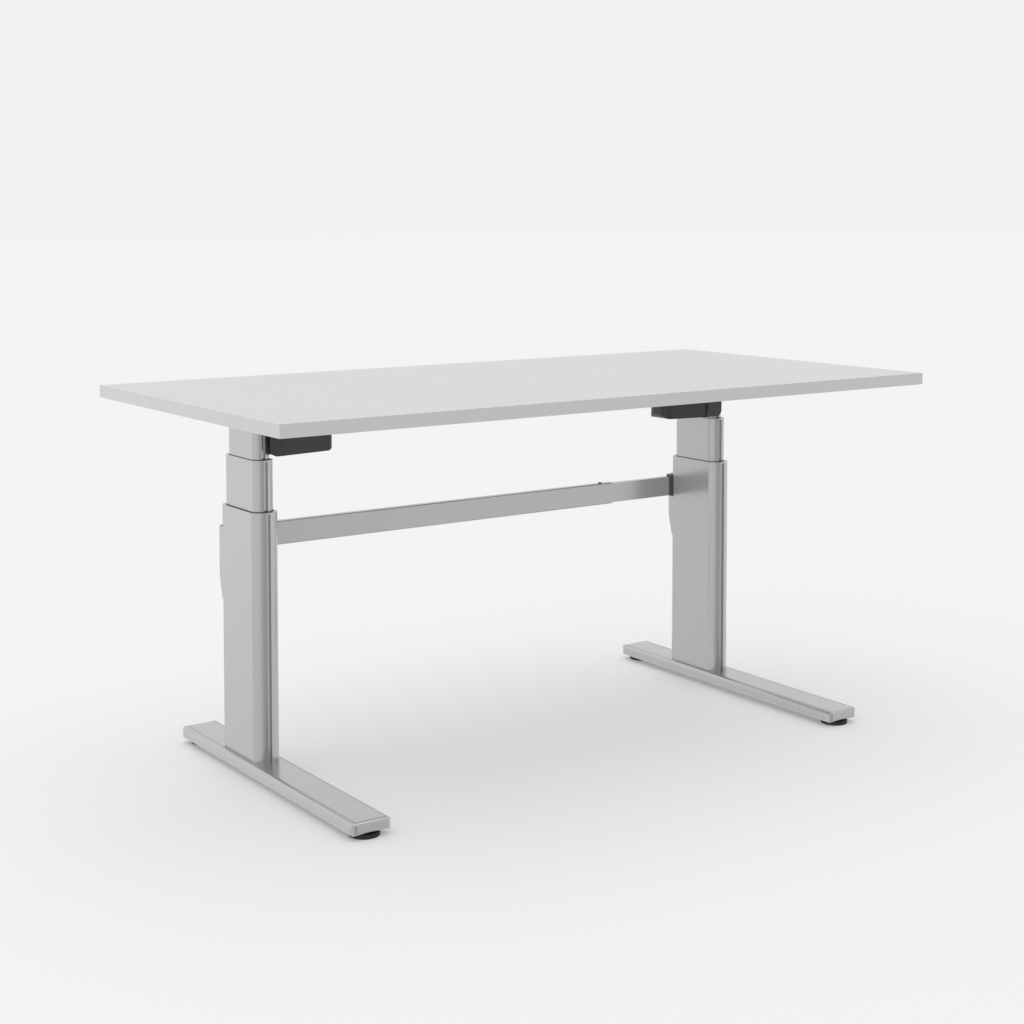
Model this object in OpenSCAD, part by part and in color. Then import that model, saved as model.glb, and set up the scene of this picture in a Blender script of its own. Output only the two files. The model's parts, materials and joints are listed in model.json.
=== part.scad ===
/* [Desktop] */
// Width of the desktop, left to right
desk_w = 1600; // [1400:10:2000]
// Depth of the desktop, front to back
desk_d = 800; // [780:10:900]
// Thickness of the desktop
desk_t = 25; // [19:1:30]
// Height of the desktop's upper face above the floor, as modelled
desk_h = 770; // [766:1:790]
// Thickness of the plastic band glued round the desktop's edges
band_t = 2; // [1:0.5:3]

/* [Lifting columns] */
// Distance between the two columns' centres
leg_span = 1200; // [1100:10:1400]
// Distance of the columns' centres behind the middle of the desktop
col_y = 117; // [90:1:130]
// Width of the outer stage
outer_w = 58; // [58:0.5:62]
// Length of the outer stage's flat sides
outer_flat = 128; // [127:1:134]
// Bulge of the outer stage's rounded front and back
outer_nose = 19; // [19:0.5:22]
// Height of the outer stage's rim above the floor
outer_top = 535; // [525:1:545]
// Width of the middle stage
mid_w = 47; // [46:0.5:47.5]
// Length of the middle stage's flat sides
mid_flat = 113; // [112:1:114]
// Bulge of the middle stage's rounded front and back
mid_nose = 16.5; // [16:0.5:17]
// Height of the middle stage's rim above the floor, as modelled
mid_top = 638; // [634:1:640]
// Length of the middle stage
mid_len = 500; // [480:5:500]
// Width of the inner stage
inner_w = 40.4; // [40:0.2:40.8]
// Length of the inner stage's flat sides
inner_flat = 98; // [97:1:99]
// Bulge of the inner stage's rounded front and back
inner_nose = 14.5; // [14:0.5:15]
// Height of the inner stage's upper end above the floor, as modelled
inner_top = 700; // [698:1:702]
// Length of the inner stage
inner_len = 460; // [440:5:470]
// Width of the channel in each rounded front and back
channel_w = 8; // [5:0.5:9]
// Depth of the channel
channel_deep = 5; // [3:0.5:5]

/* [Feet] */
// Length of a foot, front to back
foot_len = 728; // [712:4:760]
// Width of a foot
foot_w = 85; // [80:1:90]
// Height of a foot's upper face above the floor
foot_top = 34; // [33:1:36]
// Height of a foot's lower face above the floor
foot_low = 10; // [9:1:11]
// Distance of the levelling glides in front of and behind the foot's middle
glide_y = 335; // [320:1:336]
// Diameter of a levelling glide
glide_d = 58; // [50:1:60]

/* [Crossbar] */
// Height of the crossbar's section
bar_h = 50; // [40:1:55]
// Depth of the crossbar's section
bar_d = 18; // [16:1:18]
// Height of the crossbar's lower face above the floor
bar_low = 436; // [420:1:440]
// Length of the crossbar's wider, left-hand tube
bar_split = 955; // [850:5:960]

/* [Motor cover] */
// Height of the cover's lower face above the floor, as modelled
cover_low = 645; // [644:1:660]
// Distance of the cover's front face in front of the column's centre
cover_front = 78.5; // [78:0.5:79]
// Distance of the cover's back face in front of the column's centre
cover_back = -6; // [-10:1:0]
// Distance of the cover's far end from the column's centre
cover_end = 161; // [160:1:170]

/* [Hidden] */

LEFT = -1;
RIGHT = 1;
silver = "#c3c4c6";
graphite = "#3a3c3f";
black = "#1c1c1e";
steel = "#8d9196";
brass = "#b5934f";
white = "#dcdddd";
round_fn = 64;
edge_fn = 32;
tiny = 0.01;
over = 1;

desk_low = desk_h - desk_t;
leg_x = leg_span / 2;

// Stages: walls, rims and plastic guides
flat_wall = 2;
nose_wall = 7;
nose_thin = 3.5;
rim_h = 3;
rim_clear = 0.1;
guide_h = 28;
guide_gap = 0.3;
guide_rise = 0.8;
outer_lip = 1.6;
mid_lip = 0.8;
shoe_up = 4;

// Foot, end caps and levelling glides
foot_wall = 2;
foot_r = 11;
foot_low_r = 6;
foot_low_h = 17;
foot_end_r = 7;
seam_w = 1.2;
seam_deep = 0.7;
foot_plan_r = 12;
cap_len = 15;
cap_spigot = 12;
cap_wall = 2;
insert_r = 8;
insert_h = 16;
insert_clear = 0.5;
stud_r = 5;
stud_gap = 0.05;
stud_top = 29;
glide_h = 8;
glide_ribs = 36;
rib_w = 2;
rib_out = 1;
pad_h = 1.5;

// Column base, a block in the outer stage's lower end
base_h = 30;
base_screw_x = 16;
base_screw_y = 45;
base_screw_r = 4;
base_head_r = 6.5;
base_head_h = 6;
base_screw_deep = 22;
base_hole_r = 9;
side_screw_z = foot_top + 25;
side_screw_r = 2.5;
side_screw_len = 10;
side_head_r = 3;

// Nested screws: a keyed drive spindle inside a hollow spindle
drive_r = 5;
drive_low = 322;
drive_top = 735;
key_w = 1.8;
key_deep = 1.1;
key_gap = 0.2;
key_len = 30;
key_top = 662;
hollow_bore = 5.5;
hollow_r = 9;
hollow_low = 88;
hollow_top = 600;
hollow_flange_r = 12.5;
hollow_flange_h = 3.9;
thread_gap = 0.08;
pillar_r = 13;
pillar_bore = 9.6;
lower_nut_z = 340;
lower_nut_h = 15;
carrier_r = 16.4;
carrier_bore = 13.6;
carrier_plate = 5;
ledge_z = 592;
ledge_h = 4;
ledge_bore = 9.6;
pocket_r = 13;
pocket_top = 622;
upper_nut_low = 603;
upper_nut_rim = 4;

// Gearbox with its worm wheel and worm
gear_in = 24.4;
gear_out = 26;
gear_front = 48;
gear_back = 28;
gear_floor = 8;
gear_top = desk_low - 4;
gear_spigot_r = 18;
gear_spigot_h = 14;
gear_spigot_bore = 8;
wheel_r = 20;
wheel_teeth = 30;
tooth_deep = 1.4;
tooth_w = 2;
wheel_z = 712;
wheel_h = 10;
wheel_room = 1.5;
hub_r = 9;
hub_gap = 0.1;
worm_y = -29;
worm_z = 717;
worm_r = 8.5;
worm_core_r = 6.5;
worm_half = 14;
worm_pitch = 4;
worm_ridge = 1.6;
worm_room_r = 10;
worm_room_half = 18;
shaft_r = 4;
shaft_gap = 0.08;
shaft_in = 44;
shaft_out = 22;

// Motor and its cover
motor_r = 27;
motor_neck_r = 14;
motor_from = 38;
motor_to = 134;
motor_bell_r = 24;
motor_bell_to = 146;
cover_wall = 3;
cover_near = 25;
cover_r_left = 14;
cover_r_right = 24;
cover_taper = 17;
cover_top = desk_low - 1;
cover_round = 16;
cover_edge = 0.6;
cover_sink = 0.03;
cover_seam_left = 94;
cover_seam_right = 52;
cover_seam_w = 2.4;
cover_seam_deep = 1.6;
cover_seam_lean = 12;
cover_lip_left = 8;
cover_lip_right = 2;
cover_lip_t = 3.4;
cover_lip_top = desk_low - 4.6;
cover_slot = 15;
cover_rib = 3;
cover_rib_x = [60, 118];

// Top brackets and their screws
bracket_w = 48;
bracket_t = 4;
bracket_front = 300;
bracket_back = 230;
bracket_r = 8;
wood_r = 2.2;
wood_head_r = 4.5;
wood_head_h = 2.5;
wood_up = 14;
wood_x = 14;
wood_y = [-285, -190, 130, 215];
machine_r = 2.5;
machine_head_r = 4.5;
machine_head_h = 2.2;
machine_deep = 20;
machine_x = 18;
machine_y = [-43, 22.5];
screw_gap = 0.05;

// Crossbar, its hooked end plates and the brackets welded to the columns
saddle_back = 87;
saddle_r = 9;
saddle_wall = 2.5;
saddle_top = bar_low + bar_h + 3;
saddle_taper = saddle_top - 73;
saddle_low = saddle_taper - 76;
saddle_foot = 4;
bar_wall = 2;
bar_r = 3;
bar_gap = 0.3;
bar_overlap = 120;
end_t = 1.5;
end_up = 2.5;
bar_left = outer_w / 2 + end_t - leg_x;
tongue_len = 17;
tongue_front = 81.3;
tongue_in = 4;
tongue_gap = 0.3;
bar_screw_z = [bar_low + 13, bar_low + bar_h - 13];
bar_screw_in = 12.6;
bar_screw_r = 1.25;
bar_screw_len = 5.5;
bar_head_r = 2.4;
bar_head_h = 1.8;
lock_in = 30;
lock_r = 3;
lock_head_r = 4.5;
lock_head_h = 2;

// Control box and handset
box_w = 250;
box_d = 105;
box_h = 36;
box_wall = 2;
box_y = 118;
box_r = 8;
lug_w = 16;
lug_h = 4;
lug_y = 32;
pcb_up = 5;
pcb_t = 1.6;
pcb_gap = 1;
pcb_post_r = 3;
socket_w = 16;
socket_h = 12;
socket_d = 14;
socket_x = [-80, -50, -20];
socket_hole = 2;
inlet_x = 75;
inlet_w = 28;
inlet_h = 20;
set_w = 110;
set_d = 45;
set_h = 14;
set_x = 480;
set_front = -303;
set_r = 6;
set_screw_x = 40;
set_screw_in = 30;
button_w = 20;
button_h = 7;
button_out = 1.4;
button_len = 7;
button_gap = 0.4;
button_room = 9;
button_x = 17;

module sided(side) {
    mirror([side == LEFT ? 1 : 0, 0, 0])
        translate([leg_x, col_y, 0])
            children();
}

function edge_normal(a, b) = [b[1] - a[1], a[0] - b[0]] / norm(b - a);

// Convex outline with all its corners rounded, from the corner circles' centres.
// Straight sides lie inside the circles' tangents by the amount of sink.
module round_outline(centres, r, sink = 0) {
    n = len(centres);
    polygon([
        for (i = [0:n - 1])
            let (a = centres[i], b = centres[(i + 1) % n], out = edge_normal(a, b) * (r - sink))
                each [a + out, b + out]
    ]);
    for (c = centres)
        translate(c)
            circle(r = r, $fn = edge_fn);
}

module round_rect(w, d, r) {
    x = w / 2 - r;
    y = d / 2 - r;
    round_outline([[-x, -y], [x, -y], [x, y], [-x, y]], r);
}

// Plan outline of a stage: flat sides with a circular bulge at front and back
module stage_outline(w, flat, nose, grow = 0) {
    bulge_r = (w * w / 4 + nose * nose) / (2 * nose);
    width = w + 2 * grow;
    square([width, flat], center = true);
    for (end = [-1, 1])
        intersection() {
            translate([0, end * (flat / 2 + nose - bulge_r)])
                circle(r = bulge_r + grow, $fn = round_fn);
            translate([0, end * flat / 2])
                square([width, flat], center = true);
        }
}

module outer_outline(grow = 0)
    stage_outline(outer_w, outer_flat, outer_nose, grow);

module mid_outline(grow = 0)
    stage_outline(mid_w, mid_flat, mid_nose, grow);

module inner_outline(grow = 0)
    stage_outline(inner_w, inner_flat, inner_nose, grow);

// Clear section inside a stage
module cavity_outline(w, flat, nose, grow = 0)
    stage_outline(w - 2 * flat_wall, flat - nose_wall, nose - nose_thin, grow);

module outer_cavity(grow = 0)
    cavity_outline(outer_w, outer_flat, outer_nose, grow);

module mid_cavity(grow = 0)
    cavity_outline(mid_w, mid_flat, mid_nose, grow);

module inner_cavity()
    cavity_outline(inner_w, inner_flat, inner_nose);

// Channels down the rounded front and back of a stage
module channels(half) {
    for (end = [-1, 1])
        translate([0, end * (half - channel_deep / 2 + over / 2)])
            square([channel_w, channel_deep + over], center = true);
}

module tube_at(low, h) {
    translate([0, 0, low])
        linear_extrude(h)
            children();
}

module rod(r, low, top) {
    translate([0, 0, low])
        cylinder(r = r, h = top - low, $fn = round_fn);
}

// Section of a foot: round shoulders above, tighter corners below
module foot_section(inset) {
    h = foot_top - foot_low;
    w = foot_w - 2 * inset;
    translate([0, foot_low + h / 2])
        round_rect(w, h - 2 * inset, foot_r - inset);
    translate([0, foot_low + foot_low_h / 2])
        round_rect(w, foot_low_h - 2 * inset, foot_low_r - inset);
}

// Outer section with the two fine seams beside the flat upper face
module foot_outline() {
    difference() {
        foot_section(0);
        for (x = [-1, 1] * (foot_w / 2 - foot_r))
            translate([x, foot_top])
                square([seam_w, 2 * seam_deep], center = true);
    }
}

module along_y(from, to) {
    translate([0, to, 0])
        rotate([90, 0, 0])
            linear_extrude(to - from)
                children();
}

module base_screw_spots() {
    for (x = [-base_screw_x, base_screw_x], y = [-base_screw_y, base_screw_y])
        translate([x, y, 0])
            children();
}

module foot(side) {
    half = foot_len / 2 - cap_len;
    color(silver)
        sided(side)
            translate([0, -col_y, 0])
                difference() {
                    along_y(-half, half)
                        foot_outline();
                    along_y(-half - over, half + over)
                        foot_section(foot_wall);
                    translate([0, col_y, 0])
                        base_screw_spots() {
                            rod(base_hole_r, foot_low - over, foot_low + foot_wall + over);
                            rod(base_screw_r, foot_top - foot_wall - over, foot_top + over);
                        }
                    for (y = [-glide_y, glide_y])
                        translate([0, y, 0])
                            rod(insert_r, foot_low - over, foot_low + foot_wall + over);
                }
}

// Hollow cap: rounded outside, with a sleeve pushed into the foot's tube
module foot_cap() {
    tip = foot_len / 2;
    from = tip - cap_len;
    difference() {
        union() {
            intersection() {
                along_y(from, tip)
                    foot_outline();
                tube_at(foot_low - over, foot_top - foot_low + 2 * over)
                    round_rect(foot_w, foot_len, foot_plan_r);
                translate([-foot_w / 2 - over, 0, (foot_low + foot_top) / 2])
                    rotate([90, 0, 90])
                        linear_extrude(foot_w + 2 * over)
                            round_rect(foot_len, foot_top - foot_low, foot_end_r);
            }
            along_y(from - cap_spigot, from + over)
                foot_section(foot_wall);
        }
        along_y(from - cap_spigot - over, tip - cap_wall - foot_plan_r / 2)
            foot_section(foot_wall + cap_wall);
        translate([0, glide_y, 0])
            rod(insert_r + insert_clear, foot_low - over, foot_low + insert_h + over);
    }
}

module foot_end_caps() {
    color(silver)
        for (side = [LEFT, RIGHT], end = [0, 1])
            sided(side)
                translate([0, -col_y, 0])
                    mirror([0, end, 0])
                        foot_cap();
}

module glide_spot(side, end) {
    sided(side)
        translate([0, end * glide_y - col_y, 0])
            children();
}

module glide_inserts() {
    color(steel)
        for (side = [LEFT, RIGHT], end = [-1, 1])
            glide_spot(side, end)
                difference() {
                    rod(insert_r, foot_low, foot_low + insert_h);
                    rod(stud_r + stud_gap, foot_low - over, foot_low + insert_h + over);
                }
}

module glide(side, end) {
    color(black)
        glide_spot(side, end) {
            rod(glide_d / 2, 0, pad_h);
            translate([0, 0, pad_h])
                linear_extrude(glide_h - pad_h) {
                    circle(r = glide_d / 2 - rib_out, $fn = round_fn);
                    for (i = [0:glide_ribs - 1])
                        rotate(i * 360 / glide_ribs)
                            translate([glide_d / 2 - rib_w / 2, 0])
                                square(rib_w, center = true);
                }
            rod(stud_r, glide_h - tiny, stud_top);
        }
}

module side_screw_spots() {
    for (turn = [0, 180])
        rotate(turn)
            translate([outer_w / 2, 0, side_screw_z])
                rotate([0, 90, 0])
                    children();
}

module outer_tube(side) {
    color(silver)
        sided(side)
            difference() {
                tube_at(foot_top, outer_top - rim_h - foot_top)
                    difference() {
                        outer_outline();
                        outer_cavity();
                        channels(outer_flat / 2 + outer_nose);
                    }
                side_screw_spots()
                    translate([0, 0, -flat_wall - over])
                        cylinder(r = side_head_r, h = flat_wall + 2 * over, $fn = round_fn);
            }
}

module outer_collars() {
    color(silver)
        for (side = [LEFT, RIGHT])
            sided(side)
                tube_at(outer_top - rim_h, rim_h)
                    difference() {
                        outer_outline();
                        mid_outline(outer_lip + rim_clear);
                    }
}

module outer_guides() {
    color(black)
        for (side = [LEFT, RIGHT])
            sided(side) {
                tube_at(outer_top - rim_h - guide_h, guide_h)
                    difference() {
                        outer_cavity();
                        mid_outline(guide_gap);
                    }
                tube_at(outer_top - rim_h - tiny, rim_h + guide_rise)
                    difference() {
                        mid_outline(outer_lip);
                        mid_outline(guide_gap);
                    }
            }
}

module column_base(side) {
    color(steel)
        sided(side)
            difference() {
                tube_at(foot_top, base_h)
                    outer_cavity();
                rod(pillar_r, foot_top - over, foot_top + base_h + over);
                base_screw_spots()
                    rod(base_screw_r, foot_top - over, foot_top + base_screw_deep);
                side_screw_spots()
                    translate([0, 0, -side_screw_len])
                        cylinder(r = side_screw_r, h = side_screw_len, $fn = round_fn);
            }
}

module column_base_screws() {
    color(steel)
        for (side = [LEFT, RIGHT])
            sided(side)
                base_screw_spots() {
                    rod(base_screw_r, foot_top - foot_wall - tiny, foot_top + base_screw_deep);
                    rod(base_head_r, foot_top - foot_wall - base_head_h, foot_top - foot_wall);
                }
}

module column_side_screws() {
    color(steel)
        for (side = [LEFT, RIGHT])
            sided(side)
                side_screw_spots() {
                    translate([0, 0, -side_screw_len])
                        cylinder(r = side_screw_r, h = side_screw_len - flat_wall + tiny,
                                 $fn = round_fn);
                    translate([0, 0, -flat_wall])
                        cylinder(r = side_head_r, h = flat_wall, $fn = round_fn);
                }
}

module lower_pillar(side) {
    color(steel)
        sided(side)
            difference() {
                rod(pillar_r, foot_top, lower_nut_z);
                rod(pillar_bore, foot_top - over, lower_nut_z + over);
            }
}

module lower_nuts() {
    color(brass)
        for (side = [LEFT, RIGHT])
            sided(side)
                difference() {
                    rod(pillar_r, lower_nut_z, lower_nut_z + lower_nut_h);
                    rod(hollow_r + thread_gap, lower_nut_z - over, lower_nut_z + lower_nut_h + over);
                }
}

module middle_tube(side) {
    color(silver)
        sided(side)
            tube_at(mid_top - mid_len, mid_len - rim_h)
                difference() {
                    mid_outline();
                    mid_cavity();
                    channels(mid_flat / 2 + mid_nose);
                }
}

module middle_collar(side) {
    color(silver)
        sided(side)
            tube_at(mid_top - rim_h, rim_h)
                difference() {
                    mid_outline();
                    inner_outline(mid_lip + rim_clear);
                }
}

module middle_guides(side) {
    color(black)
        sided(side) {
            tube_at(mid_top - rim_h - guide_h, guide_h)
                difference() {
                    mid_cavity();
                    inner_outline(guide_gap);
                }
            tube_at(mid_top - rim_h - tiny, rim_h + guide_rise)
                difference() {
                    inner_outline(mid_lip);
                    inner_outline(guide_gap);
                }
            tube_at(mid_top - mid_len + shoe_up, guide_h)
                difference() {
                    outer_cavity(-guide_gap);
                    mid_outline();
                }
        }
}

// Tall sleeve on the middle stage's bottom plate, holding a nut and a bearing ledge
module spindle_carrier(side) {
    low = mid_top - mid_len;
    color(steel)
        sided(side)
            difference() {
                union() {
                    tube_at(low, carrier_plate)
                        mid_cavity();
                    rod(carrier_r, low, pocket_top);
                }
                rod(carrier_bore, low - over, ledge_z);
                rod(ledge_bore, low, pocket_top + over);
                rod(pocket_r, ledge_z + ledge_h, pocket_top + over);
            }
}

module upper_nut(side) {
    color(brass)
        sided(side)
            difference() {
                union() {
                    rod(pocket_r, upper_nut_low, pocket_top + tiny);
                    rod(carrier_r, pocket_top, pocket_top + upper_nut_rim);
                }
                rod(drive_r + thread_gap, upper_nut_low - over, pocket_top + upper_nut_rim + over);
            }
}

module keys(w, r, low, top) {
    for (end = [-1, 1])
        translate([-w / 2, end > 0 ? r : -r - 2 * key_deep, low])
            cube([w, 2 * key_deep, top - low]);
}

module hollow_spindle(side) {
    color(steel)
        sided(side) {
            difference() {
                union() {
                    rod(hollow_r, hollow_low, hollow_top);
                    rod(hollow_flange_r, hollow_top - hollow_flange_h, hollow_top);
                }
                rod(hollow_bore, hollow_low - over, hollow_top + over);
            }
            keys(key_w - 2 * key_gap, drive_r - key_deep + key_gap, hollow_top - key_len, hollow_top);
        }
}

module drive_spindle(side) {
    color(steel)
        sided(side) {
            difference() {
                rod(drive_r, drive_low, drive_top);
                keys(key_w, drive_r - key_deep, drive_low - over, key_top);
            }
            rod(hub_r, inner_top + gear_floor + hub_gap, wheel_z + tiny);
            translate([0, 0, wheel_z])
                linear_extrude(wheel_h)
                    difference() {
                        circle(r = wheel_r, $fn = round_fn);
                        for (i = [0:wheel_teeth - 1])
                            rotate(i * 360 / wheel_teeth)
                                translate([wheel_r, 0])
                                    square([2 * tooth_deep, tooth_w], center = true);
                    }
        }
}

module along_shaft(r, from, to) {
    translate([from, worm_y, worm_z])
        rotate([0, 90, 0])
            cylinder(r = r, h = to - from, $fn = round_fn);
}

module worm_shaft(side) {
    color(steel)
        sided(side) {
            along_shaft(shaft_r, -shaft_in, shaft_out);
            along_shaft(worm_core_r, -worm_half, worm_half);
            for (x = [-worm_half:worm_pitch:worm_half - worm_ridge])
                along_shaft(worm_r, x, x + worm_ridge);
        }
}

module inner_tube(side) {
    color(silver)
        sided(side)
            tube_at(inner_top - inner_len, inner_len)
                difference() {
                    inner_outline();
                    inner_cavity();
                    channels(inner_flat / 2 + inner_nose);
                }
}

module inner_guides() {
    color(black)
        for (side = [LEFT, RIGHT])
            sided(side)
                tube_at(inner_top - inner_len + shoe_up, guide_h)
                    difference() {
                        mid_cavity(-guide_gap);
                        inner_outline();
                    }
}

module machine_spots() {
    for (x = [-machine_x, machine_x], y = machine_y)
        translate([x, y, 0])
            children();
}

// Open-topped casting, closed by the bracket above it
module gearbox(side) {
    color(graphite)
        sided(side)
            difference() {
                union() {
                    translate([-gear_in, -gear_front, inner_top])
                        cube([gear_in + gear_out, gear_front + gear_back, gear_top - inner_top]);
                    rod(gear_spigot_r, inner_top - gear_spigot_h, inner_top + over);
                }
                rod(gear_spigot_bore, inner_top - gear_spigot_h - over, inner_top);
                rod(drive_r + shaft_gap, inner_top - over, gear_top);
                rod(wheel_r + wheel_room, inner_top + gear_floor, gear_top + over);
                along_shaft(worm_room_r, -worm_room_half, worm_room_half);
                translate([-worm_room_half, worm_y - worm_room_r, worm_z])
                    cube([2 * worm_room_half, 2 * worm_room_r, gear_top + over - worm_z]);
                along_shaft(shaft_r + shaft_gap, -gear_in - over, shaft_out + over / 2);
                machine_spots()
                    rod(machine_r + screw_gap, gear_top - machine_deep, gear_top + over);
            }
}

module motor(side) {
    color(black)
        sided(side)
            difference() {
                union() {
                    along_shaft(motor_neck_r, -motor_from - tiny, -gear_in);
                    along_shaft(motor_r, -motor_to, -motor_from);
                    along_shaft(motor_bell_r, -motor_bell_to, -motor_to + tiny);
                }
                along_shaft(shaft_r + shaft_gap, -shaft_in - over, -gear_in + over);
            }
}

function cover_r(side) = side == LEFT ? cover_r_left : cover_r_right;

function cover_lip_end(side) = side == LEFT ? cover_lip_left : cover_lip_right;

module cover_outline(side, inset) {
    r = cover_r(side);
    far = r - cover_end;
    near = -cover_near - r;
    round_outline([
        [far, cover_taper - cover_front + r],
        [near, cover_taper * r / cover_end - cover_front + r],
        [near, -cover_back - r],
        [far, -cover_back - r]
    ], r - inset, cover_sink);
}

// Front view of the cover: both lower corners are rounded
module cover_front_view(side, inset) {
    near = -cover_lip_end(side) - cover_round;
    far = cover_round - cover_end - cover_edge;
    low = cover_low + cover_round;
    along_y(-cover_front - over, cover_front)
        round_outline([[far, low], [near, low], [near, desk_low], [far, desk_low]], cover_round - inset);
}

module motor_cover(side) {
    seam_x = side == LEFT ? cover_seam_left : cover_seam_right;
    seam_y = (seam_x - cover_near) * cover_taper / cover_end + cover_seam_deep;
    lean = side == LEFT ? 0 : cover_seam_lean;
    color(graphite)
        sided(side) {
            difference() {
                intersection() {
                    union() {
                        tube_at(cover_low - over, cover_top - cover_low + over)
                            cover_outline(side, 0);
                        translate([-cover_near - cover_r(side), -cover_front, cover_low - over])
                            cube([cover_near + cover_r(side), cover_lip_t,
                                  cover_lip_top - cover_low + over]);
                    }
                    cover_front_view(side, 0);
                }
                intersection() {
                    tube_at(cover_low, cover_top)
                        cover_outline(side, cover_wall);
                    cover_front_view(side, cover_wall);
                }
                translate([-cover_near - cover_wall - over, worm_y - cover_slot, inner_top])
                    cube([cover_wall + 2 * over, 2 * cover_slot, cover_top]);
                translate([-seam_x, -cover_front - over, cover_low])
                    rotate([0, lean, 0])
                        translate([0, 0, -cover_round])
                            cube([cover_seam_w, seam_y + over, cover_top - cover_low + 2 * cover_round]);
            }
            for (x = cover_rib_x)
                difference() {
                    translate([-x, worm_y - cover_slot, cover_low + cover_wall - tiny])
                        cube([cover_rib, 2 * cover_slot, worm_z - cover_low - cover_wall]);
                    along_shaft(motor_r, -cover_end, 0);
                }
        }
}

module wood_spots() {
    for (x = [-wood_x, wood_x], y = wood_y)
        translate([x, y, 0])
            children();
}

module top_bracket(side) {
    color(black)
        sided(side)
            difference() {
                tube_at(desk_low - bracket_t, bracket_t)
                    translate([0, (bracket_back - bracket_front) / 2])
                        round_rect(bracket_w, bracket_back + bracket_front, bracket_r);
                wood_spots()
                    rod(wood_r + screw_gap, desk_low - bracket_t - over, desk_low + over);
                machine_spots() {
                    rod(machine_r + screw_gap, desk_low - bracket_t - over, desk_low + over);
                    rod(machine_head_r + screw_gap, desk_low - machine_head_h, desk_low + over);
                }
            }
}

// Every place where a screw enters the desktop from below
module all_wood_spots() {
    for (side = [LEFT, RIGHT])
        sided(side)
            translate([0, 0, -bracket_t])
                wood_spots()
                    children();
    for (x = [-1, 1] * (box_w + lug_w) / 2, y = [-lug_y, lug_y])
        translate([x, box_y + y, -lug_h])
            children();
    for (x = [-set_screw_x, set_screw_x])
        translate([set_x + x, set_front + set_screw_in, -set_h])
            children();
}

module top_screws() {
    color(steel) {
        all_wood_spots() {
            rod(wood_head_r, desk_low - wood_head_h, desk_low);
            rod(wood_r, desk_low - tiny, desk_low + wood_up);
        }
        for (side = [LEFT, RIGHT])
            sided(side)
                machine_spots() {
                    rod(machine_r, gear_top - machine_deep, desk_low - machine_head_h + tiny);
                    rod(machine_head_r, desk_low - machine_head_h, desk_low);
                }
    }
}

module control_box() {
    low = desk_low - box_h;
    color(black)
        translate([0, box_y, 0])
            difference() {
                union() {
                    tube_at(low, box_h)
                        round_rect(box_w, box_d, box_r);
                    for (x = [-1, 1] * (box_w + lug_w) / 2, y = [-lug_y, lug_y])
                        translate([x, y, desk_low - lug_h / 2])
                            cube([lug_w + box_wall, lug_w, lug_h], center = true);
                }
                tube_at(low + box_wall, box_h)
                    round_rect(box_w - 2 * box_wall, box_d - 2 * box_wall, box_r - box_wall);
                for (x = [-1, 1] * (box_w + lug_w) / 2, y = [-lug_y, lug_y])
                    translate([x, y, 0])
                        rod(wood_r + screw_gap, desk_low - lug_h - over, desk_low + over);
                for (x = socket_x)
                    translate([x - socket_w / 2, box_d / 2 - box_wall - over, low + pcb_up + pcb_t])
                        cube([socket_w, box_wall + 2 * over, socket_h]);
                translate([inlet_x - inlet_w / 2, box_d / 2 - box_wall - over, low + pcb_up + pcb_t])
                    cube([inlet_w, box_wall + 2 * over, inlet_h]);
            }
}

module socket(x, w, h) {
    low = desk_low - box_h + pcb_up + pcb_t - tiny;
    translate([x - w / 2, box_d / 2 - socket_d, low])
        difference() {
            cube([w, socket_d, h]);
            translate([socket_hole, socket_d / 2, socket_hole])
                cube([w - 2 * socket_hole, socket_d, h - 2 * socket_hole]);
        }
}

module control_board() {
    low = desk_low - box_h;
    color(graphite)
        translate([0, box_y, 0]) {
            translate([0, 0, low + pcb_up + pcb_t / 2])
                cube([box_w - 2 * box_wall - 2 * pcb_gap, box_d - 2 * box_wall - 2 * pcb_gap, pcb_t],
                     center = true);
            for (x = [-1, 1] * box_w / 3, y = [-1, 1] * box_d / 4)
                translate([x, y, 0])
                    rod(pcb_post_r, low + box_wall, low + pcb_up + tiny);
            for (x = socket_x)
                socket(x, socket_w, socket_h);
            socket(inlet_x, inlet_w, inlet_h);
        }
}

module button_spot(x) {
    translate([set_x + x, set_front, desk_low - set_h / 2])
        children();
}

module handset() {
    color(black)
        difference() {
            tube_at(desk_low - set_h, set_h)
                translate([set_x, set_front + set_d / 2])
                    round_rect(set_w, set_d, set_r);
            for (x = [-button_x, button_x])
                button_spot(x)
                    translate([0, button_room / 2 - over / 2, 0])
                        cube([button_w + 2 * button_gap, button_room + over,
                              button_h + 2 * button_gap], center = true);
            for (x = [-set_screw_x, set_screw_x])
                translate([set_x + x, set_front + set_screw_in, 0])
                    rod(wood_r + screw_gap, desk_low - set_h - over, desk_low + over);
        }
}

module push_button(x) {
    color(graphite)
        button_spot(x)
            translate([0, (button_len - button_out) / 2, 0])
                cube([button_w, button_len + button_out, button_h], center = true);
}

module desktop() {
    color(white)
        difference() {
            translate([0, 0, desk_low + desk_t / 2])
                cube([desk_w - 2 * band_t, desk_d - 2 * band_t, desk_t], center = true);
            all_wood_spots()
                rod(wood_r + screw_gap, desk_low - over, desk_low + wood_up);
        }
}

module edge_band() {
    color(white)
        tube_at(desk_low, desk_t)
            difference() {
                square([desk_w, desk_d], center = true);
                square([desk_w - 2 * band_t, desk_d - 2 * band_t], center = true);
            }
}

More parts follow.
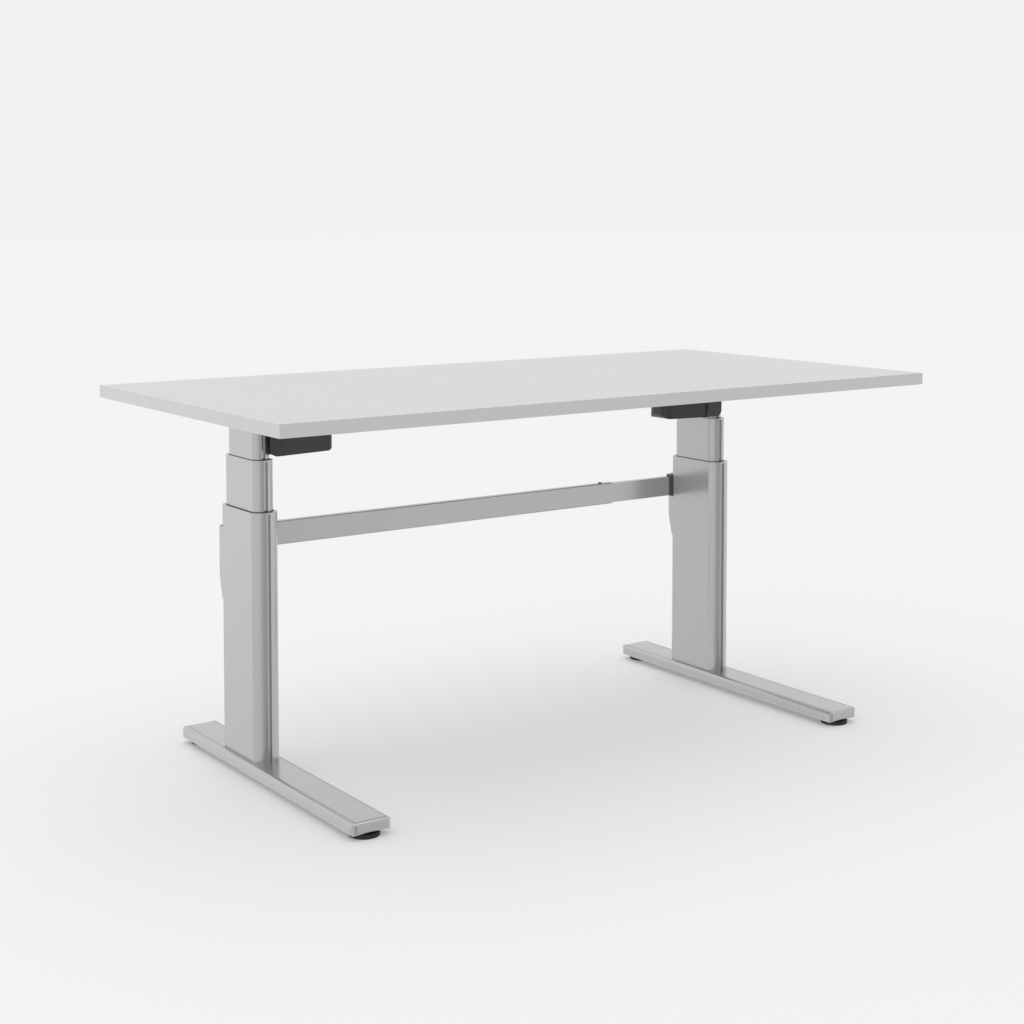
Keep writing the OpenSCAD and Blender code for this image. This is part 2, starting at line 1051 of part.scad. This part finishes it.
// Bent plate around the column's rounded back, its cheeks flush with the column's flat faces
module crossbar_bracket(side) {
    flat_end = outer_flat / 2;
    color(silver)
        sided(side)
            difference() {
                intersection() {
                    translate([-outer_w / 2, 0, 0])
                        rotate([90, 0, 90])
                            linear_extrude(outer_w)
                                polygon([
                                    [flat_end, saddle_low], [flat_end + saddle_foot, saddle_low],
                                    [saddle_back, saddle_taper], [saddle_back, saddle_top],
                                    [flat_end, saddle_top]
                                ]);
                    tube_at(0, saddle_top + over)
                        difference() {
                            round_rect(outer_w, 2 * saddle_back, saddle_r);
                            round_rect(outer_w - 2 * saddle_wall, 2 * (saddle_back - saddle_wall),
                                       saddle_r - saddle_wall);
                        }
                }
                tube_at(saddle_low - over, saddle_top)
                    outer_outline();
                tongue(tongue_gap);
                bar_screw_spots()
                    cylinder(r = bar_screw_r + screw_gap, h = bar_screw_len, $fn = round_fn);
            }
}

module tongue(gap) {
    translate([-outer_w / 2 - tiny, tongue_front - gap, bar_low + tongue_in - gap])
        cube([tongue_len, saddle_back - saddle_wall - tongue_front + gap,
              bar_h - 2 * tongue_in + 2 * gap]);
}

module bar_screw_spots() {
    for (z = bar_screw_z)
        translate([-outer_w / 2 + bar_screw_in, saddle_back + tiny, z])
            rotate([90, 0, 0])
                children();
}

module crossbar_ends() {
    color(graphite)
        for (side = [LEFT, RIGHT])
            sided(side)
                difference() {
                    union() {
                        translate([-outer_w / 2 - end_t, outer_flat / 2, bar_low])
                            cube([end_t, saddle_back - outer_flat / 2, bar_h + end_up]);
                        tongue(0);
                    }
                    bar_screw_spots()
                        cylinder(r = bar_screw_r + screw_gap, h = bar_screw_len, $fn = round_fn);
                }
}

module along_bar(from, to) {
    translate([from, col_y + saddle_back - bar_d / 2, bar_low + bar_h / 2])
        rotate([90, 0, 90])
            linear_extrude(to - from)
                children();
}

module crossbar_outer() {
    color(silver)
        difference() {
            along_bar(bar_left, bar_left + bar_split)
                difference() {
                    round_rect(bar_d, bar_h, bar_r);
                    square([bar_d - 2 * bar_wall, bar_h - 2 * bar_wall], center = true);
                }
            translate([bar_left + bar_split - lock_in, col_y + saddle_back - bar_d / 2, 0])
                rod(lock_r, bar_low + bar_h / 2, bar_low + bar_h + over);
        }
}

module crossbar_inner() {
    inset = bar_wall + bar_gap;
    color(silver)
        along_bar(bar_left + bar_split - bar_overlap, -bar_left)
            difference() {
                square([bar_d - 2 * inset, bar_h - 2 * inset], center = true);
                square([bar_d - 2 * inset - 2 * bar_wall, bar_h - 2 * inset - 2 * bar_wall],
                       center = true);
            }
}

module crossbar_screws() {
    color(black) {
        for (side = [LEFT, RIGHT])
            sided(side)
                bar_screw_spots() {
                    cylinder(r = bar_screw_r, h = bar_screw_len, $fn = round_fn);
                    translate([0, 0, -bar_head_h])
                        cylinder(r = bar_head_r, h = bar_head_h, $fn = round_fn);
                }
        translate([bar_left + bar_split - lock_in, col_y + saddle_back - bar_d / 2, 0]) {
            rod(lock_r, bar_low + bar_h - bar_wall - bar_gap, bar_low + bar_h + tiny);
            rod(lock_head_r, bar_low + bar_h, bar_low + bar_h + lock_head_h);
        }
    }
}

foot(LEFT);  // left_foot
foot(RIGHT);  // right_foot
foot_end_caps();
glide_inserts();
outer_tube(LEFT);  // left_outer_tube
outer_tube(RIGHT);  // right_outer_tube
outer_collars();
outer_guides();
column_base(LEFT);  // left_column_base
column_base(RIGHT);  // right_column_base
lower_pillar(LEFT);  // left_lower_pillar
lower_pillar(RIGHT);  // right_lower_pillar
lower_nuts();
crossbar_outer();
crossbar_inner();
crossbar_ends();
crossbar_bracket(LEFT);  // left_crossbar_bracket
crossbar_bracket(RIGHT);  // right_crossbar_bracket
crossbar_screws();
column_base_screws();
column_side_screws();
glide(LEFT, -1);  // left_front_glide
glide(LEFT, 1);  // left_rear_glide
glide(RIGHT, -1);  // right_front_glide
glide(RIGHT, 1);  // right_rear_glide
middle_tube(LEFT);  // left_middle_tube
middle_tube(RIGHT);  // right_middle_tube
middle_collar(LEFT);  // left_middle_collar
middle_collar(RIGHT);  // right_middle_collar
middle_guides(LEFT);  // left_middle_guides
middle_guides(RIGHT);  // right_middle_guides
spindle_carrier(LEFT);  // left_spindle_carrier
spindle_carrier(RIGHT);  // right_spindle_carrier
upper_nut(LEFT);  // left_upper_nut
upper_nut(RIGHT);  // right_upper_nut
hollow_spindle(LEFT);  // left_hollow_spindle
hollow_spindle(RIGHT);  // right_hollow_spindle
drive_spindle(LEFT);  // left_drive_spindle
drive_spindle(RIGHT);  // right_drive_spindle
worm_shaft(LEFT);  // left_worm_shaft
worm_shaft(RIGHT);  // right_worm_shaft
inner_tube(LEFT);  // left_inner_tube
inner_tube(RIGHT);  // right_inner_tube
inner_guides();
gearbox(LEFT);  // left_gearbox
gearbox(RIGHT);  // right_gearbox
motor(LEFT);  // left_motor
motor(RIGHT);  // right_motor
motor_cover(LEFT);  // left_motor_cover
motor_cover(RIGHT);  // right_motor_cover
top_bracket(LEFT);  // left_top_bracket
top_bracket(RIGHT);  // right_top_bracket
top_screws();
control_box();
control_board();
handset();
push_button(-button_x);  // up_button
push_button(button_x);  // down_button
desktop();
edge_band();
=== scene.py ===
import json
import math

import bmesh
import bpy
from mathutils import Matrix, Vector


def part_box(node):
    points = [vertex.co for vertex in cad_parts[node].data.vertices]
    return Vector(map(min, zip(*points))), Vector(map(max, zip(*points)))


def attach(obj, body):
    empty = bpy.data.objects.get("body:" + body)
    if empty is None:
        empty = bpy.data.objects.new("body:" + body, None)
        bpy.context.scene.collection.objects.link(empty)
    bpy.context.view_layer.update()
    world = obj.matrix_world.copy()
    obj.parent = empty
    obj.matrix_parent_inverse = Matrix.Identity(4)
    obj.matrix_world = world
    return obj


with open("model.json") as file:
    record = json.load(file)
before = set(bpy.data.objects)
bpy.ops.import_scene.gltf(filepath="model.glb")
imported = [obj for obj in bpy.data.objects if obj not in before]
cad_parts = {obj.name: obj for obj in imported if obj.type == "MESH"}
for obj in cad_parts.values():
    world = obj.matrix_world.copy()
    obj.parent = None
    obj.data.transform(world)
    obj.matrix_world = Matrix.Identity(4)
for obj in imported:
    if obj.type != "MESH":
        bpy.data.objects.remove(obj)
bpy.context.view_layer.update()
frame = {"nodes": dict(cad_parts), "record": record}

MM = 0.001
nodes = frame["nodes"]
scene = bpy.context.scene
scene.view_settings.view_transform = "Standard"


# ---------------------------------------------------------------- camera and light

CAMERA_AT = Vector((-2.1603, -3.0189, 1.1357))
CAMERA_YAW = 54.87     # degrees from +X towards +Y
CAMERA_PITCH = -3.26   # degrees above the horizon
LENS = 60.95           # mm on a 36 mm sensor
SHIFT_Y = -0.2

BACKDROP = 0.888       # brightness behind and around the desk
NEAR_LEFT = 1.14       # the backdrop's own rise towards the left, times the backdrop
FAR_LEFT = 0.79        # what is left of it further to the left
LEFT_GLOW = 1.5        # a narrow bright screen at the far left, times the rest there
FRONT_DIM = 0.50       # brightness of the studio in front of the desk
FRONT_LEFT = 1.75      # its rise towards the front left, times the part in front
FRONT_RIGHT = 0.84     # brightness of the studio at the front right
RIGHT_GLOW = 1.08      # a bright screen at the far front right, times the rest there
HORIZON_RISE = 1.06    # just below the horizon, times the rest
BELOW = 0.88           # further down, times the rest

# Where each change of the studio begins and ends, along one axis of the direction
FRONT_TO_BACK = (0.2, 0.3)
FRONT_RIGHT_AT = (0.12, 0.5)
FRONT_LEFT_AT = (-0.75, -0.15)
RIGHT_GLOW_AT = (0.66, 0.82)
NEAR_LEFT_AT = (-0.3, 0.25)
FAR_LEFT_AT = (-0.67, -0.47)
LEFT_GLOW_AT = (-0.84, -0.74)
BELOW_AT = (-0.33, -0.17)
HORIZON_AT = (-0.12, -0.01)

SUN_POWER = 1.2
SUN_ANGLE = 70         # degrees across, so that shadows are soft
LAMP_POWER = 5         # W
LAMP_AT = (-3.4, 0.9, 1.5)
LAMP_TOWARDS = (0, 0, 0.4)
LAMP_SIZE = (1.6, 1.8)

FLOOR_COLOUR = 0.785
FLOOR_HALF = 60        # m from the middle to an edge
FLOOR_GLOW = 0.45      # how far the floor is lit from below, as a light table
FLOOR_PAINTED_SHADOW = 0.5      # that light where a piece is close above the floor: the darkest part of a painted contact shadow
FLOOR_REACH = 0.12     # m within which a piece dims it, which is how far the painted contact shadow reaches


def make_camera():
    data = bpy.data.cameras.new("camera")
    data.lens = LENS
    data.sensor_width = 36
    data.shift_y = SHIFT_Y
    camera = bpy.data.objects.new("camera", data)
    scene.collection.objects.link(camera)
    yaw = math.radians(CAMERA_YAW)
    pitch = math.radians(CAMERA_PITCH)
    look = Vector((math.cos(yaw) * math.cos(pitch), math.sin(yaw) * math.cos(pitch), math.sin(pitch)))
    camera.location = CAMERA_AT
    camera.rotation_mode = "QUATERNION"
    camera.rotation_quaternion = look.to_track_quat("-Z", "Y")
    scene.camera = camera


def ramp_of(tree, value, ends, dark, bright):
    """A smooth step of brightness, from dark at the first end to bright at the second."""
    node = tree.nodes.new("ShaderNodeMapRange")
    node.interpolation_type = "SMOOTHSTEP"
    for slot, limit in zip(("From Min", "From Max"), ends):
        node.inputs[slot].default_value = limit
    for slot, limit in (("To Min", dark), ("To Max", bright)):
        if isinstance(limit, (int, float)):
            node.inputs[slot].default_value = limit
        else:
            tree.links.new(limit, node.inputs[slot])
    tree.links.new(value, node.inputs["Value"])
    return node.outputs["Result"]


def times(tree, first, second):
    node = tree.nodes.new("ShaderNodeMath")
    node.operation = "MULTIPLY"
    tree.links.new(first, node.inputs[0])
    tree.links.new(second, node.inputs[1])
    return node.outputs[0]


def make_world():
    """A white studio, dimmer on the user's side of the desk."""
    world = bpy.data.worlds.new("studio")
    scene.world = world
    world.use_nodes = True
    tree = world.node_tree
    background = tree.nodes["Background"]
    coords = tree.nodes.new("ShaderNodeTexCoord")
    split = tree.nodes.new("ShaderNodeSeparateXYZ")
    tree.links.new(coords.outputs["Generated"], split.inputs[0])
    x = split.outputs["X"]
    y = split.outputs["Y"]
    z = split.outputs["Z"]
    front = ramp_of(tree, x, FRONT_RIGHT_AT, FRONT_DIM, FRONT_RIGHT)
    front = times(tree, front, ramp_of(tree, x, FRONT_LEFT_AT, FRONT_LEFT, 1.0))
    front = times(tree, front, ramp_of(tree, x, RIGHT_GLOW_AT, 1.0, RIGHT_GLOW))
    back = ramp_of(tree, x, NEAR_LEFT_AT, BACKDROP * NEAR_LEFT, BACKDROP)
    back = times(tree, back, ramp_of(tree, x, FAR_LEFT_AT, FAR_LEFT, 1.0))
    back = times(tree, back, ramp_of(tree, x, LEFT_GLOW_AT, LEFT_GLOW, 1.0))
    around = ramp_of(tree, y, FRONT_TO_BACK, front, back)
    around = times(tree, around, ramp_of(tree, z, BELOW_AT, BELOW, HORIZON_RISE))
    around = times(tree, around, ramp_of(tree, z, HORIZON_AT, 1.0, 1 / HORIZON_RISE))
    background.inputs["Color"].default_value = (1, 1, 1, 1)
    tree.links.new(around, background.inputs["Strength"])


def make_light(name, kind, power, at, target, **settings):
    data = bpy.data.lights.new(name, kind)
    data.energy = power
    for key, value in settings.items():
        setattr(data, key, value)
    lamp = bpy.data.objects.new(name, data)
    lamp.location = at
    lamp.rotation_mode = "QUATERNION"
    lamp.rotation_quaternion = (Vector(target) - Vector(at)).to_track_quat("-Z", "Y")
    scene.collection.objects.link(lamp)


make_camera()
make_world()
make_light("overhead", "SUN", SUN_POWER, (0, 0.4, 5), (0, 0, 0), angle=math.radians(SUN_ANGLE))
make_light("left_soft", "AREA", LAMP_POWER, LAMP_AT, LAMP_TOWARDS,
           shape="RECTANGLE", size=LAMP_SIZE[0], size_y=LAMP_SIZE[1])


# ---------------------------------------------------------------- materials

def new_material(name):
    material = bpy.data.materials.new(name)
    material.use_nodes = True
    tree = material.node_tree
    return material, tree, tree.nodes["Principled BSDF"]


def noise(tree, coords, scale, detail=3.0, stretch=(1, 1, 1)):
    mapping = tree.nodes.new("ShaderNodeMapping")
    mapping.inputs["Scale"].default_value = stretch
    tree.links.new(coords.outputs["Object"], mapping.inputs["Vector"])
    texture = tree.nodes.new("ShaderNodeTexNoise")
    texture.inputs["Scale"].default_value = scale
    texture.inputs["Detail"].default_value = detail
    tree.links.new(mapping.outputs["Vector"], texture.inputs["Vector"])
    return texture.outputs["Fac"]


def spread(tree, value, low, high):
    node = tree.nodes.new("ShaderNodeMapRange")
    node.inputs["From Min"].default_value = 0.3
    node.inputs["From Max"].default_value = 0.7
    node.inputs["To Min"].default_value = low
    node.inputs["To Max"].default_value = high
    tree.links.new(value, node.inputs["Value"])
    return node.outputs["Result"]


def blend_colour(tree, value, dark, light):
    node = tree.nodes.new("ShaderNodeMix")
    node.data_type = "RGBA"
    node.inputs["A"].default_value = (*dark, 1)
    node.inputs["B"].default_value = (*light, 1)
    tree.links.new(value, node.inputs["Factor"])
    return node.outputs["Result"]


def finish_of(name, colour, rough, metallic=0.0, vary=0.04, rough_vary=0.04, grain=900,
              bump=0.05, bump_depth=0.02, stretch=(1, 1, 1), cloud=6, coat=0.0, specular=0.5):
    """A surface with a fine grain in its height and gloss and a slow drift in its colour."""
    material, tree, shader = new_material(name)
    coords = tree.nodes.new("ShaderNodeTexCoord")
    fine = noise(tree, coords, grain, stretch=stretch)
    slow = noise(tree, coords, cloud, detail=2)
    dark = tuple(c * (1 - vary) for c in colour)
    light = tuple(min(1, c * (1 + vary)) for c in colour)
    tree.links.new(blend_colour(tree, slow, dark, light), shader.inputs["Base Color"])
    tree.links.new(spread(tree, fine, rough - rough_vary, rough + rough_vary), shader.inputs["Roughness"])
    height = tree.nodes.new("ShaderNodeBump")
    height.inputs["Strength"].default_value = bump
    height.inputs["Distance"].default_value = bump_depth * MM
    tree.links.new(fine, height.inputs["Height"])
    tree.links.new(height.outputs["Normal"], shader.inputs["Normal"])
    shader.inputs["Metallic"].default_value = metallic
    shader.inputs["Specular IOR Level"].default_value = specular
    if coat:
        shader.inputs["Coat Weight"].default_value = coat
        shader.inputs["Coat Roughness"].default_value = 0.3
    return material


MATERIALS = {
    "white_board": finish_of("white_board", (0.560, 0.560, 0.565), 0.42, vary=0.008, rough_vary=0.05,
                             grain=1400, bump=0.25, bump_depth=0.03, cloud=3),
    "white_band": finish_of("white_band", (0.585, 0.585, 0.592), 0.26, vary=0.01, rough_vary=0.04,
                            grain=1100, bump=0.3, bump_depth=0.03, cloud=5),
    "silver_paint": finish_of("silver_paint", (0.515, 0.52, 0.53), 0.24, metallic=0.85, vary=0.015,
                              rough_vary=0.05, grain=1600, bump=0.2, bump_depth=0.03, cloud=5),
    "steel": finish_of("steel", (0.50, 0.51, 0.53), 0.32, metallic=1.0, vary=0.05, rough_vary=0.1,
                       grain=500, bump=0.3, bump_depth=0.05, stretch=(1, 1, 6)),
    "black_steel": finish_of("black_steel", (0.10, 0.10, 0.106), 0.42, metallic=0.3, vary=0.1,
                             grain=1200, bump=0.4, bump_depth=0.05),
    "cast_alloy": finish_of("cast_alloy", (0.42, 0.43, 0.45), 0.5, metallic=0.9, vary=0.08,
                            rough_vary=0.1, grain=700, bump=0.8, bump_depth=0.1),
    "motor_black": finish_of("motor_black", (0.03, 0.03, 0.033), 0.35, metallic=0.4, vary=0.1, grain=900),
    "dark_cover": finish_of("dark_cover", (0.036, 0.036, 0.037), 0.26, vary=0.06, rough_vary=0.06,
                            specular=0.4, grain=1500, bump=0.6, bump_depth=0.06, cloud=9),
    "black_plastic": finish_of("black_plastic", (0.018, 0.018, 0.019), 0.48, vary=0.1, rough_vary=0.06,
                               grain=1300, bump=0.5, bump_depth=0.05),
    "liner_plastic": finish_of("liner_plastic", (0.07, 0.07, 0.072), 0.5, vary=0.08, rough_vary=0.06,
                               grain=1300, bump=0.4, bump_depth=0.05),
    "button_plastic": finish_of("button_plastic", (0.30, 0.31, 0.33), 0.4, vary=0.03, grain=1500, bump=0.3),
    "mark_paint": finish_of("mark_paint", (0.75, 0.75, 0.75), 0.5, vary=0.02),
    "display_glass": finish_of("display_glass", (0.01, 0.01, 0.012), 0.12, vary=0.02, rough_vary=0.02,
                               bump=0.01),
    "circuit_board": finish_of("circuit_board", (0.02, 0.12, 0.05), 0.4, vary=0.15, grain=400, coat=0.3),
    "brass": finish_of("brass", (0.68, 0.48, 0.20), 0.3, metallic=1.0, vary=0.05, rough_vary=0.08, grain=600),
}

for part in frame["record"]["subparts"]:
    obj = nodes[part["node"]]
    for place in obj.material_slots:
        place.material = MATERIALS[part["material_slot"]]


# ---------------------------------------------------------------- edges of the CAD pieces

def soften(node, width, segments=2, angle=35):
    """Rounds the sharp edges of a CAD node by width millimetres, with a modifier."""
    bevel = nodes[node].modifiers.new("edge", "BEVEL")
    bevel.width = width * MM
    bevel.segments = segments
    bevel.limit_method = "ANGLE"
    bevel.angle_limit = math.radians(angle)
    bevel.harden_normals = True
    bevel.use_clamp_overlap = True


# Width in mm, segments and least angle in degrees, for each piece of a column
COLUMN_EDGES = {
    "outer_tube": (0.35, 3, 15),
    "middle_tube": (0.35, 3, 15),
    "inner_tube": (0.35, 3, 15),
    "motor_cover": (1.3, 3, 40),
    "crossbar_bracket": (0.5, 2, 25),
    "top_bracket": (0.4, 2, 35),
    "middle_collar": (0.4, 2, 25),
}
# Width in mm, for the other pieces
OTHER_EDGES = {
    "outer_collars": 0.5, "foot_end_caps": 0.4, "crossbar_outer": 0.3, "crossbar_ends": 0.4,
    "control_box": 0.6, "handset": 0.6, "up_button": 0.5, "down_button": 0.5,
}

soften("edge_band", 0.7, 3)
for side in ("left", "right"):
    for piece, (width, segments, angle) in COLUMN_EDGES.items():
        soften(f"{side}_{piece}", width, segments, angle)
for node, width in OTHER_EDGES.items():
    soften(node, width)


# ---------------------------------------------------------------- small marks and a display window

def middle(low, high):
    return tuple((a + b) / 2 for a, b in zip(low, high))


def flat_piece(name, corners, depth, at, turn, material, body):
    """A thin prism with its outline in its own XY plane, set in place and riding a body."""
    mesh = bpy.data.meshes.new(name)
    shape = bmesh.new()
    face = shape.faces.new([shape.verts.new((x * MM, y * MM, 0)) for x, y in corners])
    grown = bmesh.ops.extrude_face_region(shape, geom=[face])
    bmesh.ops.translate(shape, vec=(0, 0, depth * MM),
                        verts=[v for v in grown["geom"] if isinstance(v, bmesh.types.BMVert)])
    bmesh.ops.recalc_face_normals(shape, faces=shape.faces)
    shape.to_mesh(mesh)
    shape.free()
    mesh.materials.append(MATERIALS[material])
    piece = bpy.data.objects.new(name, mesh)
    scene.collection.objects.link(piece)
    piece.matrix_world = Matrix.Translation(at) @ turn
    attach(piece, body)


FACING_USER = Matrix.Rotation(math.radians(90), 4, "X")
MARK_WIDE = 2.4        # mm from the middle to a corner
MARK_LOW = 1.5         # mm from the middle to the base
MARK_HIGH = 1.8        # mm from the middle to the point
MARK_THICK = 0.12
WINDOW_THICK = 0.4
WINDOW_SIDES = 16      # mm left free beside the window, both sides together
WINDOW_ENDS = 7        # mm left free above and below it, together
WINDOW_SHIFT = 2       # mm from the free middle towards the buttons


def button_marks():
    """A plain triangle on each button, pointing the way the desk goes."""
    for button, sense in (("up_button", 1), ("down_button", -1)):
        low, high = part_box(button)
        centre = middle(low, high)
        corners = [(-MARK_WIDE, -MARK_LOW * sense), (MARK_WIDE, -MARK_LOW * sense), (0, MARK_HIGH * sense)]
        at = (centre[0], low[1] + MARK_THICK / 2 * MM, centre[2])
        flat_piece(f"{button}_mark", corners, MARK_THICK, at, FACING_USER, "mark_paint", button)


def handset_display():
    """A dark window to the right of the buttons."""
    low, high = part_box("handset")
    edge = max(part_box(button)[1][0] for button in ("up_button", "down_button"))
    w = ((high[0] - edge) / MM - WINDOW_SIDES) / 2
    h = ((high[2] - low[2]) / MM - WINDOW_ENDS) / 2
    at = ((edge + high[0]) / 2 - WINDOW_SHIFT * MM, low[1] + WINDOW_THICK / 2 * MM, (low[2] + high[2]) / 2)
    flat_piece("handset_window", [(-w, -h), (w, -h), (w, h), (-w, h)], WINDOW_THICK, at,
               FACING_USER, "display_glass", "top")


button_marks()
handset_display()


# ---------------------------------------------------------------- floor

def make_floor():
    mesh = bpy.data.meshes.new("floor")
    shape = bmesh.new()
    bmesh.ops.create_grid(shape, x_segments=8, y_segments=8, size=FLOOR_HALF)
    shape.to_mesh(mesh)
    shape.free()
    floor = bpy.data.objects.new("floor", mesh)
    scene.collection.objects.link(floor)
    floor.visible_glossy = False     # the metal mirrors the studio, not this plane
    material, tree, shader = new_material("floor")
    shader.inputs["Base Color"].default_value = (FLOOR_COLOUR, FLOOR_COLOUR, FLOOR_COLOUR, 1)
    shader.inputs["Roughness"].default_value = 0.9
    shader.inputs["Specular IOR Level"].default_value = 0.1
    glow = tree.nodes.new("ShaderNodeEmission")
    # Ambient occlusion dims the floor's glow under and beside the pieces, which paints a contact shadow there
    # on top of the real shadows the diffuse part receives.
    shade = tree.nodes.new("ShaderNodeAmbientOcclusion")
    shade.samples = 16
    shade.inputs["Distance"].default_value = FLOOR_REACH
    lit = ramp_of(tree, shade.outputs["AO"], (0.0, 1.0), FLOOR_PAINTED_SHADOW, BACKDROP)
    tree.links.new(lit, glow.inputs["Strength"])
    mix = tree.nodes.new("ShaderNodeMixShader")
    mix.inputs["Fac"].default_value = FLOOR_GLOW
    tree.links.new(shader.outputs[0], mix.inputs[1])
    tree.links.new(glow.outputs[0], mix.inputs[2])
    tree.links.new(mix.outputs[0], tree.nodes["Material Output"].inputs["Surface"])
    mesh.materials.append(material)


make_floor()
